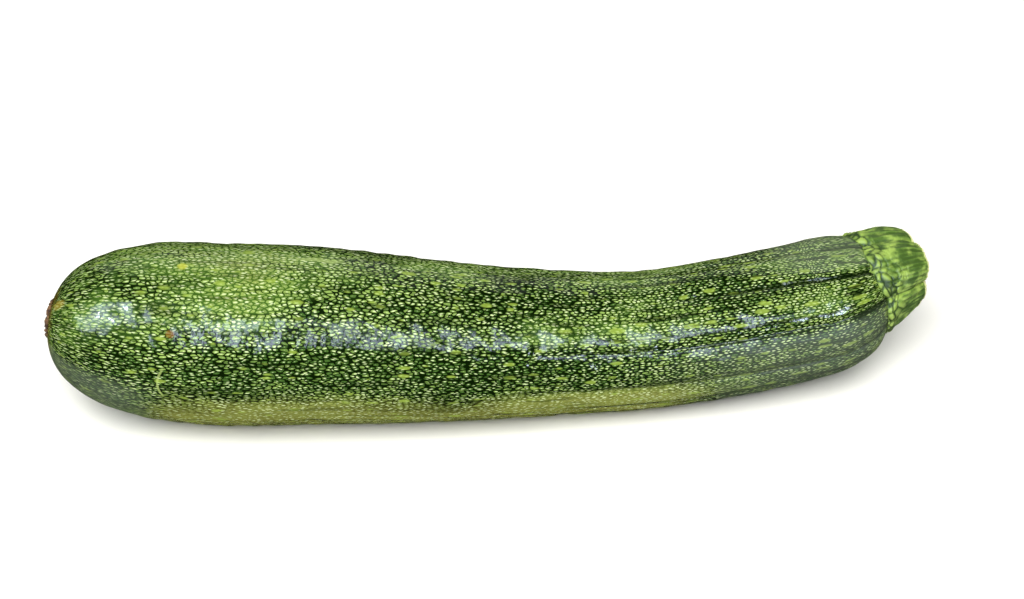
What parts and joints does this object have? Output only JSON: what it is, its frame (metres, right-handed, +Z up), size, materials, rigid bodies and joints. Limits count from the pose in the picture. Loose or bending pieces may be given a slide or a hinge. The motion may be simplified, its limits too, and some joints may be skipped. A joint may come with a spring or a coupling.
{
  "type": "zucchini",
  "caption": "Whole zucchini lying on its side: a long, slightly bent fruit with a ribbed neck, a cut lobed stalk and a flower scar.",
  "frame": {"origin": "centre of the footprint's box, on the surface that the fruit lies on", "axes": "+X along the fruit from the flower scar towards the stalk, +Y to the side that the neck bends to, +Z up"},
  "size_m": [0.2293, 0.0569, 0.0479],
  "materials": {
    "rind": "waxy semi-gloss dark green with pale flecks",
    "stalk": "fresh green, ridged and slightly rough",
    "scar": "dry brown cork"
  },
  "bodies": {
    "root": {"fruit": "rind", "peduncle": "stalk", "blossom_scar": "scar"}
  },
  "joints": []
}
